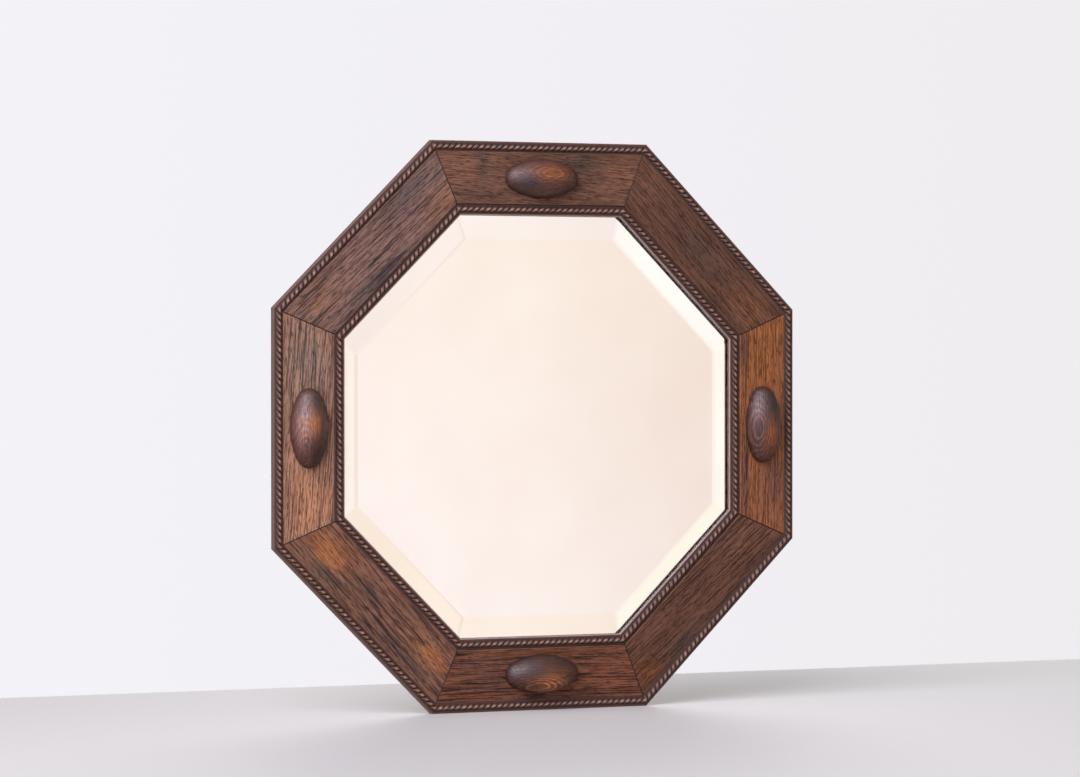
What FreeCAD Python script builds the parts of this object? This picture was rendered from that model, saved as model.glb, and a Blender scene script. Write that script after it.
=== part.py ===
"""Octagonal oak wall mirror with rope-twist beading, four oval bosses and a bevelled glass.

Millimetres. The mirror faces -Y, +Z is up, and the origin is the centre of the octagon on the
wall plane, which is the rear face of the backboard. A "level" is a distance in front of that
plane, and a "flat" is a distance from the centre square to a side of an octagon.
"""
import FreeCAD
import Part
import Sketcher
import math
import os
from FreeCAD import Placement, Rotation, Vector

# Sizes that are set by themselves
SIZES = (
    ("frame_across", "559", "overall width across the flats"),
    ("rail_width", "73", "rail from the rim to the glass, with its strips"),
    ("outer_strip_width", "10.2", "rope strip round the rim"),
    ("inner_strip_width", "11.5", "rope strip round the glass"),
    ("rail_thickness", "12.7", "rail at the outer edge of its face"),
    ("field_rise", "3", "rise of the face from the rim to the glass"),
    ("outer_ledge_depth", "4", "step down to the ledge of the outer strip"),
    ("outer_strip_drop", "0.5", "outer strip's flats below the face"),
    ("inner_strip_drop", "1.8", "inner strip's flats below the face"),
    ("inner_strip_thickness", "2.6", "inner strip without its rope"),
    ("lip_thickness", "2", "lip of the rail over the glass"),
    ("edge_height", "3", "square part of the rail's outer edge"),
    ("back_bevel", "7", "slope of the outer edge towards the wall"),
    ("rim_width", "2.7", "flat outside the outer rope"),
    ("rim_round", "1.2", "rounding of the rim"),
    ("lip_width", "3.2", "flat between the inner rope and the glass"),
    ("lip_round", "1.5", "rounding of the sight edge"),
    ("rope_width", "6.1", "rope across its base"),
    ("rope_height", "3", "rope above its flats"),
    ("rope_crown", "3.2", "top of the rope between its slopes"),
    ("twist_pitch", "6.3", "length of one twist along the rope"),
    ("twist_angle", "45", "degrees between a twist and the rope"),
    ("groove_width", "2.4", "groove between twists at the top"),
    ("groove_floor", "0.15", "bottom of a groove above the flats"),
    ("cut_margin", "3", "mitre cut beyond the piece"),
    ("rebate_width", "7.7", "overlap of the lip and the rebate"),
    ("glass_thickness", "6", "plate glass"),
    ("glass_margin", "2", "room round the glass in its rebate"),
    ("bevel_width", "25.4", "bevel of the glass"),
    ("bevel_drop", "3", "depth of the bevel at the glass edge"),
    ("glass_gap", "0.1", "room between the glass and the lip"),
    ("silver_thickness", "0.2", "silvering and its backing paint"),
    ("card_gap", "0.1", "room between the packing card and the backboard"),
    ("board_thickness", "4", "plywood backboard"),
    ("board_overlap", "16", "backboard beyond the rebate"),
    ("pin_inset", "8", "panel pins beyond the rebate"),
    ("pin_diameter", "1.4", "panel pin shank"),
    ("pin_length", "12", "panel pin with its head"),
    ("pin_head_diameter", "3", "panel pin head"),
    ("pin_head_height", "0.6", "panel pin head"),
    ("pin_clearance", "0.03", "room round a pin"),
    ("boss_length", "77", "oval boss along its rail"),
    ("boss_width", "38.4", "oval boss across its rail"),
    ("boss_height", "19", "oval boss above the face"),
    ("spindle_end_round", "13", "rounding of the ends of the turning that a boss is split from"),
    ("dowel_diameter", "8", "dowel under a boss"),
    ("dowel_length", "14", "dowel under a boss"),
    ("dowel_clearance", "0.05", "room round a dowel"),
    ("dowel_end_gap", "0.5", "glue room at each end of a dowel"),
    ("tongue_length", "36", "loose tongue along the mitre"),
    ("tongue_width", "16", "loose tongue across the mitre"),
    ("tongue_thickness", "4", "loose tongue"),
    ("tongue_clearance", "0.1", "room round a tongue"),
    ("hanger_height", "70", "hinge of the rings above the centre"),
    ("strap_width", "10", "hanger strap"),
    ("strap_length", "11", "strap below the hinge"),
    ("strap_thickness", "0.9", "strap sheet"),
    ("wire_diameter", "2", "ring wire"),
    ("ring_clearance", "0.05", "room between ring and strap"),
    ("ring_width", "20", "ring between the wire's centres"),
    ("ring_reach", "19", "ring from hinge to the wire's centre"),
    ("ring_corner", "2.5", "bend at each end of the ring's bar"),
    ("screw_drop", "6.6", "screw below the hinge"),
    ("screw_diameter", "3", "hanger screw shank"),
    ("screw_length", "9", "hanger screw below its head"),
    ("screw_head_diameter", "6.4", "hanger screw head"),
    ("screw_head_height", "1.7", "hanger screw head"),
    ("screw_clearance", "0.05", "room round a screw"),
)

# Places that follow from the sizes
PLACES = (
    ("half_turn", "=tan(22.5 deg)", "half side of an octagon for a flat of one"),
    ("outer_flat", "=frame_across / 2", "rim"),
    ("sight_flat", "=outer_flat - rail_width", "sight edge"),
    ("field_outer_flat", "=outer_flat - outer_strip_width", "outer edge of the face"),
    ("field_inner_flat", "=sight_flat + inner_strip_width", "inner edge of the face"),
    ("field_mid_flat", "=(field_outer_flat + field_inner_flat) / 2", "middle of the face"),
    ("bevel_flat", "=outer_flat - back_bevel", "outer edge at the back"),
    ("rebate_flat", "=sight_flat + rebate_width", "rebate of the glass"),
    ("glass_flat", "=rebate_flat - glass_margin", "edge of the glass"),
    ("arris_flat", "=glass_flat - bevel_width", "line where the bevel starts"),
    ("board_flat", "=rebate_flat + board_overlap", "edge of the backboard"),
    ("pin_flat", "=rebate_flat + pin_inset", "line of the panel pins"),
    ("hanger_flat", "=(board_flat + bevel_flat) / 2", "line of the hangers"),
    ("rail_half_length", "=outer_flat * half_turn", "half the longest side of a rail"),
    ("glass_half", "=glass_flat * half_turn", "half a side of the glass"),
    ("arris_half", "=arris_flat * half_turn", "half a side of the flat glass"),
    ("board_half", "=board_flat * half_turn", "half a side of the backboard"),
    ("cut_inner_flat", "=sight_flat - cut_margin", "start of a mitre cut"),
    ("cut_outer_flat", "=outer_flat + cut_margin", "end of a mitre cut"),
    ("cut_inner_half", "=cut_inner_flat * half_turn", "start of a mitre cut"),
    ("cut_outer_half", "=cut_outer_flat * half_turn", "end of a mitre cut"),
    ("cut_end", "=cut_outer_half + cut_margin", "far side of a mitre cut"),
    ("rail_back_level", "=board_thickness", "back of the rails"),
    ("field_outer_level", "=rail_back_level + rail_thickness", "outer edge of the face"),
    ("field_inner_level", "=field_outer_level + field_rise", "inner edge of the face"),
    ("field_mid_level", "=(field_outer_level + field_inner_level) / 2", "middle of the face"),
    ("field_slope", "=atan(field_rise / (field_outer_flat - field_inner_flat)) / 1 deg", "degrees"),
    ("outer_ledge_level", "=field_outer_level - outer_ledge_depth", "ledge of the outer strip"),
    ("edge_back_level", "=outer_ledge_level - edge_height", "start of the back bevel"),
    ("outer_top_level", "=field_outer_level - outer_strip_drop", "flats of the outer strip"),
    ("rim_round_level", "=outer_top_level - rim_round", "end of the rim's rounding"),
    ("rim_round_flat", "=outer_flat - rim_round", "start of the rim's rounding"),
    ("inner_top_level", "=field_inner_level - inner_strip_drop", "flats of the inner strip"),
    ("inner_ledge_level", "=inner_top_level - inner_strip_thickness", "ledge of the inner strip"),
    ("lip_round_level", "=inner_top_level - lip_round", "end of the sight edge's rounding"),
    ("lip_round_flat", "=sight_flat + lip_round", "start of the sight edge's rounding"),
    ("lip_back_level", "=inner_ledge_level - lip_thickness", "underside of the lip"),
    ("outer_rope_flat", "=outer_flat - rim_width - rope_width / 2", "centre of the outer rope"),
    ("inner_rope_flat", "=sight_flat + lip_width + rope_width / 2", "centre of the inner rope"),
    ("outer_rope_rim", "=outer_rope_flat + rope_width / 2", "outer rope's base"),
    ("outer_rope_foot", "=outer_rope_flat - rope_width / 2", "outer rope's base"),
    ("outer_crown_rim", "=outer_rope_flat + rope_crown / 2", "outer rope's top"),
    ("outer_crown_foot", "=outer_rope_flat - rope_crown / 2", "outer rope's top"),
    ("outer_crown_level", "=outer_top_level + rope_height", "outer rope's top"),
    ("outer_twists", "=round(2 * outer_rope_flat * half_turn / twist_pitch)", "twists on a side"),
    ("outer_step", "=2 * outer_rope_flat * half_turn / outer_twists", "outer twist as laid out"),
    ("outer_span", "=outer_step * (outer_twists + 1)", "from the first groove to the last"),
    ("outer_start", "=outer_span / 2", "first groove of the outer rope"),
    ("outer_groove_level", "=outer_top_level + groove_floor", "bottom of a groove"),
    ("inner_rope_rim", "=inner_rope_flat + rope_width / 2", "inner rope's base"),
    ("inner_rope_foot", "=inner_rope_flat - rope_width / 2", "inner rope's base"),
    ("inner_crown_rim", "=inner_rope_flat + rope_crown / 2", "inner rope's top"),
    ("inner_crown_foot", "=inner_rope_flat - rope_crown / 2", "inner rope's top"),
    ("inner_crown_level", "=inner_top_level + rope_height", "inner rope's top"),
    ("inner_twists", "=round(2 * inner_rope_flat * half_turn / twist_pitch)", "twists on a side"),
    ("inner_step", "=2 * inner_rope_flat * half_turn / inner_twists", "inner twist as laid out"),
    ("inner_span", "=inner_step * (inner_twists + 1)", "from the first groove to the last"),
    ("inner_start", "=inner_span / 2", "first groove of the inner rope"),
    ("inner_groove_level", "=inner_top_level + groove_floor", "bottom of a groove"),
    ("groove_reach", "=2 * (rope_height - groove_floor)", "height of the groove's cutter"),
    ("outer_cutter_level", "=outer_groove_level + groove_reach", "top of the groove's cutter"),
    ("inner_cutter_level", "=inner_groove_level + groove_reach", "top of the groove's cutter"),
    ("glass_rise", "=bevel_drop * (sight_flat - arris_flat - glass_margin) / bevel_width",
     "bevel at the lowest sight edge"),
    ("glass_front_level", "=lip_back_level + glass_rise - glass_gap", "flat front of the glass"),
    ("glass_edge_level", "=glass_front_level - bevel_drop", "front of the glass at its edge"),
    ("glass_back_level", "=glass_front_level - glass_thickness", "back of the glass"),
    ("silver_back_level", "=glass_back_level - silver_thickness", "back of the silvering"),
    ("card_back_level", "=rail_back_level + card_gap", "back of the packing card"),
    ("glass_edge_thickness", "=glass_thickness - bevel_drop", "glass at its edge"),
    ("card_thickness", "=silver_back_level - card_back_level", "packing card"),
    ("pin_radius", "=pin_diameter / 2", "panel pin"),
    ("pin_head_radius", "=pin_head_diameter / 2", "panel pin"),
    ("pin_hole_diameter", "=pin_diameter + 2 * pin_clearance", "hole for a pin"),
    ("pin_head_hole_diameter", "=pin_head_diameter + 2 * pin_clearance", "seat of a pin's head"),
    ("pin_hole_depth", "=pin_length + pin_clearance - board_thickness", "hole in a rail"),
    ("spindle_radius", "=(boss_width ^ 2 / 4 + boss_height ^ 2) / (2 * boss_height)",
     "radius of the turning that a boss is split from"),
    ("spindle_sink", "=spindle_radius - boss_height", "axis of the turning behind the face"),
    ("spindle_half",
     "=boss_length / 2 + spindle_end_round - sqrt(spindle_end_round ^ 2 - spindle_sink ^ 2)",
     "half length of the turning"),
    ("spindle_end_centre", "=spindle_half - spindle_end_round", "centre of an end's rounding"),
    ("spindle_taper", "=spindle_radius - spindle_end_round", "belly thicker than the end's rounding"),
    ("spindle_belly_drop",
     "=(spindle_end_centre ^ 2 - spindle_taper ^ 2) / (2 * spindle_taper)",
     "centre of the belly's curve beyond the axis"),
    ("spindle_join_share",
     "=spindle_end_round / sqrt(spindle_end_centre ^ 2 + spindle_belly_drop ^ 2)",
     "end's rounding for one between the two centres"),
    ("spindle_join_half", "=spindle_end_centre * (1 + spindle_join_share)",
     "where the belly meets an end, along the axis"),
    ("spindle_join_radius", "=spindle_belly_drop * spindle_join_share",
     "where the belly meets an end, from the axis"),
    ("dowel_hole_radius", "=dowel_diameter / 2 + dowel_clearance", "hole for a dowel"),
    ("dowel_hole_depth", "=dowel_length / 2 + dowel_end_gap", "hole for half a dowel"),
    ("dowel_hole_diameter", "=2 * dowel_hole_radius", "hole for a dowel"),
    ("tongue_mid_level", "=rail_back_level + rail_thickness / 2", "middle of a tongue"),
    ("slot_back_level", "=tongue_mid_level - tongue_thickness / 2 - tongue_clearance", "slot"),
    ("slot_thickness", "=tongue_thickness + 2 * tongue_clearance", "slot"),
    ("slot_length", "=tongue_length + 2 * tongue_clearance", "slot"),
    ("slot_width", "=tongue_width + 2 * tongue_clearance", "slot"),
    ("tongue_reach", "=field_mid_flat / cos(22.5 deg)", "middle of a tongue from the centre"),
    ("wire_radius", "=wire_diameter / 2", "ring wire"),
    ("knuckle_bore", "=wire_radius + ring_clearance", "inside of the strap's rolled end"),
    ("knuckle_radius", "=knuckle_bore + strap_thickness", "outside of the strap's rolled end"),
    ("hinge_level", "=rail_back_level - knuckle_radius", "axis of the rings"),
    ("strap_front", "=knuckle_radius", "strap on the rail, from the hinge"),
    ("strap_back", "=knuckle_bore", "outer face of the strap, from the hinge"),
    ("ring_half", "=ring_width / 2", "ring"),
    ("ring_bar_half", "=ring_half - ring_corner", "straight bar of the ring"),
    ("ring_arc_drop", "=ring_reach - ring_half", "start of the ring's bow"),
    ("screw_radius", "=screw_diameter / 2", "hanger screw"),
    ("screw_head_radius", "=screw_head_diameter / 2", "hanger screw"),
    ("screw_hole_diameter", "=screw_diameter + 2 * screw_clearance", "hole for a screw"),
    ("screw_hole_depth", "=screw_length - strap_thickness + screw_clearance", "hole in a rail"),
    ("screw_seat_level", "=rail_back_level - strap_thickness", "under a screw's head"),
    ("screw_height", "=hanger_height - screw_drop", "screw above the centre"),
    ("screw_top_level", "=screw_seat_level - screw_head_height", "top of a screw's head"),
    ("screw_point_level", "=screw_seat_level + screw_length", "point of a screw"),
    ("dome_radius", "=(screw_head_radius ^ 2 + screw_head_height ^ 2) / (2 * screw_head_height)",
     "dome of a screw's head"),
    ("dome_centre_level", "=screw_top_level + dome_radius", "centre of the dome"),
    ("knuckle_diameter", "=2 * knuckle_radius", "outside of the strap's rolled end"),
    ("knuckle_bore_diameter", "=2 * knuckle_bore", "inside of the strap's rolled end"),
    ("wall_level", "=0", "wall plane"),
)

SIDES = ("top", "upper_right", "right", "lower_right", "bottom", "lower_left", "left", "upper_left")
BOSS_SIDES = ("top", "right", "bottom", "left")
SIDE_TURN = 45
MITRE_TURN = SIDE_TURN / 2
RIGHT_ANGLE = 90
FULL_TURN = 360
ORIGIN = Vector(0, 0, 0)
ALONG_X = Vector(1, 0, 0)
ALONG_Y = Vector(0, 1, 0)
ALONG_Z = Vector(0, 0, 1)

doc = FreeCAD.newDocument("wall_mirror")
dims = doc.addObject("Spreadsheet::Sheet", "dims")
for row, (alias, content, meaning) in enumerate(SIZES + PLACES, start=1):
    dims.set(f"A{row}", meaning)
    dims.set(f"B{row}", content)
    dims.setAlias(f"B{row}", alias)
doc.recompute()

nodes = []


def size(name):
    """The sheet's number for a name, or minus that number for a name with a minus sign."""
    return -dims.get(name[1:]) if name.startswith("-") else float(dims.get(name))


def cell(name):
    """The expression that binds a property to a named number of the sheet."""
    return f"-dims.{name[1:]}" if name.startswith("-") else f"dims.{name}"


def side_turn(side):
    """The turn about +Y that takes the top side to the named side, clockwise from the front."""
    return Rotation(ALONG_Y, SIDE_TURN * SIDES.index(side))


def new_body(label, placement=Placement()):
    """An empty body that is written as a node of its own."""
    body = doc.addObject("PartDesign::Body", label)
    body.Label = label
    body.Placement = placement
    nodes.append(body)
    return body


def origin_plane(body, role):
    """One of a body's own origin planes or axes."""
    return next(item for item in body.Origin.OriginFeatures if item.Role == role)


def new_sketch(body, name, role, tilt=None, turn=Rotation(), **offsets):
    """A sketch on an origin plane, moved by named sizes x, y, z.

    A tilt is a named angle about the sketch's own x axis, and a turn is a fixed turn.
    """
    sketch = body.newObject("Sketcher::SketchObject", name)
    sketch.AttachmentSupport = [(origin_plane(body, role), "")]
    sketch.MapMode = "FlatFace"
    sketch.AttachmentOffset = Placement(ORIGIN, Rotation(-ALONG_X, size(tilt)) if tilt else turn)
    if tilt:
        sketch.setExpression("AttachmentOffset.Rotation.Angle", cell(tilt))
    for axis, name_of_size in offsets.items():
        sketch.setExpression(f"AttachmentOffset.Base.{axis}", cell(name_of_size))
    return sketch


def bind(sketch, kind, point, name):
    """Hold one coordinate of a point of a sketch at a named size, or on an axis if there is none."""
    axis_line = {"DistanceX": -2, "DistanceY": -1}[kind]
    if name is None:
        sketch.addConstraint(Sketcher.Constraint("PointOnObject", *point, axis_line))
        return
    index = sketch.addConstraint(Sketcher.Constraint(kind, -1, 1, *point, size(name)))
    sketch.setExpression(f"Constraints[{index}]", cell(name))


def corner_point(corner):
    """A corner's two named coordinates as a point of the sketch."""
    return Vector(*(0 if name is None else size(name) for name in corner[:2]), 0)


def draw_outline(sketch, corners):
    """Close an outline through corners (x, y), or (x, y, centre) where an arc leaves the corner.

    The coordinates are names of sizes. An arc's centre is (x, y, held, way): its coordinates, the
    one that is held, and "left" or "right", the way the arc turns from one corner to the next.
    """
    first = sketch.GeometryCount
    starts = []
    ends = []
    for index, corner in enumerate(corners):
        begin = corner_point(corner)
        finish = corner_point(corners[(index + 1) % len(corners)])
        geometry = first + index
        if len(corner) == 2:
            sketch.addGeometry(Part.LineSegment(begin, finish), False)
            starts.append((geometry, 1))
            ends.append((geometry, 2))
            continue
        centre_x, centre_y, held, way = corner[2]
        centre = corner_point((centre_x, centre_y))
        pair = (begin, finish) if way == "left" else (finish, begin)
        angles = [math.atan2(point.y - centre.y, point.x - centre.x) for point in pair]
        circle = Part.Circle(centre, ALONG_Z, begin.distanceToPoint(centre))
        sketch.addGeometry(Part.ArcOfCircle(circle, *angles), False)
        starts.append((geometry, 1 if way == "left" else 2))
        ends.append((geometry, 2 if way == "left" else 1))
    for index, corner in enumerate(corners):
        sketch.addConstraint(Sketcher.Constraint("Coincident", *ends[index - 1], *starts[index]))
        bind(sketch, "DistanceX", starts[index], corner[0])
        bind(sketch, "DistanceY", starts[index], corner[1])
        if len(corner) == 3:
            centre_x, centre_y, held, way = corner[2]
            held_name = centre_x if held == "x" else centre_y
            bind(sketch, f"Distance{held.upper()}", (first + index, 3), held_name)


def draw_circle(sketch, x, y, diameter):
    """A circle with its centre at two named coordinates and a named diameter."""
    circle = Part.Circle(corner_point((x, y)), ALONG_Z, size(diameter) / 2)
    geometry = sketch.addGeometry(circle, False)
    bind(sketch, "DistanceX", (geometry, 3), x)
    bind(sketch, "DistanceY", (geometry, 3), y)
    index = sketch.addConstraint(Sketcher.Constraint("Diameter", geometry, size(diameter)))
    sketch.setExpression(f"Constraints[{index}]", cell(diameter))


def draw_box(sketch, middle, width, height):
    """A rectangle on the sketch's upright axis, a named distance from the sketch's origin."""
    x = size(width) / 2
    low = size(middle) - size(height) / 2
    high = size(middle) + size(height) / 2
    corners = [Vector(-x, low, 0), Vector(x, low, 0), Vector(x, high, 0), Vector(-x, high, 0)]
    for index, corner in enumerate(corners):
        sketch.addGeometry(Part.LineSegment(corner, corners[(index + 1) % 4]), False)
    half = f"dims.{width} / 2"
    span = f"dims.{height} / 2"
    for index, corner in enumerate(corners):
        sketch.addConstraint(Sketcher.Constraint("Coincident", index - 1 if index else 3, 2, index, 1))
        across = sketch.addConstraint(Sketcher.Constraint("DistanceX", -1, 1, index, 1, corner.x))
        sketch.setExpression(f"Constraints[{across}]", half if corner.x > 0 else f"-{half}")
        up = sketch.addConstraint(Sketcher.Constraint("DistanceY", -1, 1, index, 1, corner.y))
        sign = "-" if corner.y == low else "+"
        sketch.setExpression(f"Constraints[{up}]", f"dims.{middle} {sign} {span}")


def add_feature(body, kind, name, sketch, length=None, **settings):
    """A sketch-based feature with a named length, or through everything where it has none."""
    feature = body.newObject(f"PartDesign::{kind}", name)
    feature.Profile = sketch
    for key, value in settings.items():
        setattr(feature, key, value)
    if length:
        feature.setExpression("Length", length)
    elif kind == "Pocket":
        feature.Type = "ThroughAll"
    body.Tip = feature
    return feature


def revolve(body, name, half_section, axis):
    """A half section turned once round one of its own axes."""
    feature = body.newObject("PartDesign::Revolution", name)
    feature.Profile = half_section
    feature.ReferenceAxis = (half_section, [axis])
    feature.Angle = FULL_TURN
    body.Tip = feature
    return feature


def cut_mitres(body):
    """Cut both ends of a straight piece to the planes that halve the corners of the octagon."""
    sketch = new_sketch(body, f"{body.Label}_mitre_lines", "XZ_Plane")
    for sign in ("", "-"):
        draw_outline(sketch, [
            (f"{sign}cut_inner_half", "cut_inner_flat"),
            (f"{sign}cut_outer_half", "cut_outer_flat"),
            (f"{sign}cut_end", "cut_outer_flat"),
            (f"{sign}cut_end", "cut_inner_flat"),
        ])
    add_feature(body, "Pocket", f"{body.Label}_mitres", sketch, Midplane=True)


def cut_round_hole(body, name, x, y, diameter, depth, level):
    """Bore a blind hole towards the front from a level behind the face."""
    sketch = new_sketch(body, f"{name}_circle", "XZ_Plane", z=level)
    draw_circle(sketch, x, y, diameter)
    add_feature(body, "Pocket", name, sketch, cell(depth), Reversed=True)


def make_rail(side):
    """One mitred oak rail: sloping face, two ledges for the rope strips and the glass rebate."""
    label = f"rail_{side}"
    body = new_body(label, Placement(ORIGIN, side_turn(side)))
    section = new_sketch(body, f"{label}_section", "YZ_Plane")
    draw_outline(section, [
        ("-rail_back_level", "rebate_flat"),
        ("-rail_back_level", "bevel_flat"),
        ("-edge_back_level", "outer_flat"),
        ("-outer_ledge_level", "outer_flat"),
        ("-outer_ledge_level", "field_outer_flat"),
        ("-field_outer_level", "field_outer_flat"),
        ("-field_inner_level", "field_inner_flat"),
        ("-inner_ledge_level", "field_inner_flat"),
        ("-inner_ledge_level", "sight_flat"),
        ("-lip_back_level", "sight_flat"),
        ("-lip_back_level", "rebate_flat"),
    ])
    add_feature(body, "Pad", f"{label}_length", section, "2 * dims.rail_half_length", Midplane=True)
    cut_mitres(body)
    for sign, end in ((1, "right"), (-1, "left")):
        name = f"{label}_{end}_slot"
        slot = new_sketch(body, f"{name}_lines", "XZ_Plane", z="slot_back_level",
                          turn=Rotation(ALONG_Z, -sign * MITRE_TURN))
        draw_box(slot, "tongue_reach", "slot_width", "slot_length")
        add_feature(body, "Pocket", name, slot, "dims.slot_thickness", Reversed=True)
    cut_round_hole(body, f"{label}_pin_hole", None, "pin_flat", "pin_hole_diameter",
                   "pin_hole_depth", "rail_back_level")
    if side in BOSS_SIDES:
        mouth = new_sketch(body, f"{label}_dowel_circle", "XZ_Plane", "field_slope",
                           y="field_mid_flat", z="field_mid_level")
        draw_circle(mouth, None, None, "dowel_hole_diameter")
        add_feature(body, "Pocket", f"{label}_dowel_hole", mouth, "dims.dowel_hole_depth")
    if side in ("left", "right"):
        height = "screw_height" if side == "left" else "-screw_height"
        cut_round_hole(body, f"{label}_screw_hole", height, "hanger_flat", "screw_hole_diameter",
                       "screw_hole_depth", "rail_back_level")


def make_copy(label, original, placement):
    """A body that repeats another body's solid in a place of its own."""
    body = new_body(label, placement)
    repeat = body.newObject("PartDesign::FeatureBase", f"{label}_repeat")
    repeat.BaseFeature = original
    body.Tip = repeat


def make_strips(kind, section_corners):
    """Eight mitred strips with a rope: a raised bar cut by slanted grooves, one to a twist."""
    label = f"{kind}_rope_top"
    body = new_body(label)
    section = new_sketch(body, f"{label}_section", "YZ_Plane")
    draw_outline(section, section_corners)
    add_feature(body, "Pad", f"{label}_length", section, "2 * dims.rail_half_length", Midplane=True)
    cutter = new_sketch(body, f"{label}_groove_lines", "YZ_Plane", "twist_angle",
                        y=f"{kind}_rope_flat", z=f"-{kind}_start")
    draw_outline(cutter, [
        (f"-{kind}_groove_level", None),
        (f"-{kind}_cutter_level", "groove_width"),
        (f"-{kind}_cutter_level", "-groove_width"),
    ])
    groove = add_feature(body, "Pocket", f"{label}_groove", cutter, Midplane=True)
    twists = body.newObject("PartDesign::LinearPattern", f"{label}_twists")
    twists.Originals = [groove]
    twists.Direction = (origin_plane(body, "X_Axis"), [""])
    twists.setExpression("Length", f"dims.{kind}_span")
    twists.setExpression("Occurrences", f"dims.{kind}_twists + 2")
    body.Tip = twists
    cut_mitres(body)
    for side in SIDES[1:]:
        make_copy(f"{kind}_rope_{side}", body, Placement(ORIGIN, side_turn(side)))


def boss_place(side):
    """The middle of a side's face, with the local z axis square to that face."""
    middle = Vector(0, -size("field_mid_level"), size("field_mid_flat"))
    tilt = Rotation(ALONG_X, RIGHT_ANGLE - size("field_slope"))
    return Placement(ORIGIN, side_turn(side)).multiply(Placement(middle, tilt))


def add_primitive(body, kind, name, place, **names_of_sizes):
    """A primitive of a body in its own place, with named sizes."""
    feature = body.newObject(f"PartDesign::{kind}", name)
    feature.AttachmentSupport = [(origin_plane(body, "XY_Plane"), "")]
    feature.MapMode = "FlatFace"
    for axis, expression in place.items():
        feature.setExpression(f"AttachmentOffset.Base.{axis}", expression)
    for key, name_of_size in names_of_sizes.items():
        feature.setExpression(key, name_of_size)
    body.Tip = feature


def make_bosses():
    """Four oval bosses, each split from a turned spindle and bored for its dowel."""
    label = "boss_top"
    body = new_body(label, boss_place("top"))
    half_section = new_sketch(body, f"{label}_half_section", "XZ_Plane", y="-spindle_sink")
    draw_outline(half_section, [
        ("-spindle_half", None, ("-spindle_end_centre", None, "y", "right")),
        ("-spindle_join_half", "spindle_join_radius", (None, "-spindle_belly_drop", "y", "right")),
        ("spindle_join_half", "spindle_join_radius", ("spindle_end_centre", None, "y", "right")),
        ("spindle_half", None),
    ])
    revolve(body, f"{label}_spindle", half_section, "H_Axis")
    add_primitive(body, "SubtractiveBox", f"{label}_split",
                  {"x": "-dims.spindle_half", "y": "-dims.spindle_radius",
                   "z": "-2 * dims.spindle_radius"},
                  Length="2 * dims.spindle_half", Width="2 * dims.spindle_radius",
                  Height="2 * dims.spindle_radius")
    add_primitive(body, "SubtractiveCylinder", f"{label}_dowel_hole", {"z": "0"},
                  Radius="dims.dowel_hole_radius", Height="dims.dowel_hole_depth")
    for side in BOSS_SIDES[1:]:
        make_copy(f"boss_{side}", body, boss_place(side))


def make_group(label, pieces):
    """Loose identical solids that share one node."""
    group = doc.addObject("Part::Compound", label)
    group.Label = label
    group.Links = pieces
    nodes.append(group)


def make_dowels():
    """Four plain dowels, half in a rail and half in its boss."""
    dowels = []
    for side in BOSS_SIDES:
        dowel = doc.addObject("Part::Cylinder", f"dowel_{side}")
        dowel.setExpression("Radius", "dims.dowel_diameter / 2")
        dowel.setExpression("Height", "dims.dowel_length")
        start = Placement(Vector(0, 0, -size("dowel_length") / 2), Rotation())
        dowel.Placement = boss_place(side).multiply(start)
        dowels.append(dowel)
    make_group("boss_dowels", dowels)


def make_tongues():
    """Eight loose tongues, one across each mitre, in slots of both rails."""
    corner = Vector(-size("tongue_width") / 2, -size("tongue_mid_level") - size("tongue_thickness") / 2,
                    size("tongue_reach") - size("tongue_length") / 2)
    tongues = []
    for index, side in enumerate(SIDES):
        tongue = doc.addObject("Part::Box", f"tongue_after_{side}")
        tongue.setExpression("Length", "dims.tongue_width")
        tongue.setExpression("Width", "dims.tongue_thickness")
        tongue.setExpression("Height", "dims.tongue_length")
        turn = Rotation(ALONG_Y, SIDE_TURN * index + MITRE_TURN)
        tongue.Placement = Placement(ORIGIN, turn).multiply(Placement(corner, Rotation()))
        tongues.append(tongue)
    make_group("mitre_tongues", tongues)


def octagon_sketch(body, name, flat, half, level):
    """A regular octagon with upright and level sides, at a level in front of the wall plane."""
    sketch = new_sketch(body, name, "XZ_Plane", z=level)
    draw_outline(sketch, [
        (half, flat), (flat, half), (flat, f"-{half}"), (half, f"-{flat}"),
        (f"-{half}", f"-{flat}"), (f"-{flat}", f"-{half}"), (f"-{flat}", half), (f"-{half}", flat),
    ])
    return sketch


def make_sheet(label, flat, half, back, thickness, drop=0):
    """An octagonal sheet from its back level forwards."""
    body = new_body(label, Placement(Vector(0, 0, -drop), Rotation()))
    outline = octagon_sketch(body, f"{label}_outline", flat, half, back)
    add_feature(body, "Pad", f"{label}_thickness", outline, cell(thickness))
    return body


def make_glass():
    """Bevelled plate glass that stands in the bottom of the rebate, its silvering and a card."""
    drop = size("glass_margin")
    glass = make_sheet("mirror_glass", "glass_flat", "glass_half", "glass_back_level",
                       "glass_edge_thickness", drop)
    edge = octagon_sketch(glass, "bevel_edge", "glass_flat", "glass_half", "glass_edge_level")
    arris = octagon_sketch(glass, "bevel_arris", "arris_flat", "arris_half", "glass_front_level")
    bevel = glass.newObject("PartDesign::AdditiveLoft", "bevel")
    bevel.Profile = edge
    bevel.Sections = [arris]
    bevel.Ruled = True
    glass.Tip = bevel
    make_sheet("silvering", "glass_flat", "glass_half", "silver_back_level", "silver_thickness", drop)
    make_sheet("packing_card", "glass_flat", "glass_half", "card_back_level", "card_thickness", drop)


def repeat_round(body, name, originals):
    """Repeat features on all eight sides."""
    pattern = body.newObject("PartDesign::PolarPattern", name)
    pattern.Originals = originals
    pattern.Axis = (origin_plane(body, "Y_Axis"), [""])
    pattern.Angle = FULL_TURN
    pattern.Occurrences = len(SIDES)
    body.Tip = pattern


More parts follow.
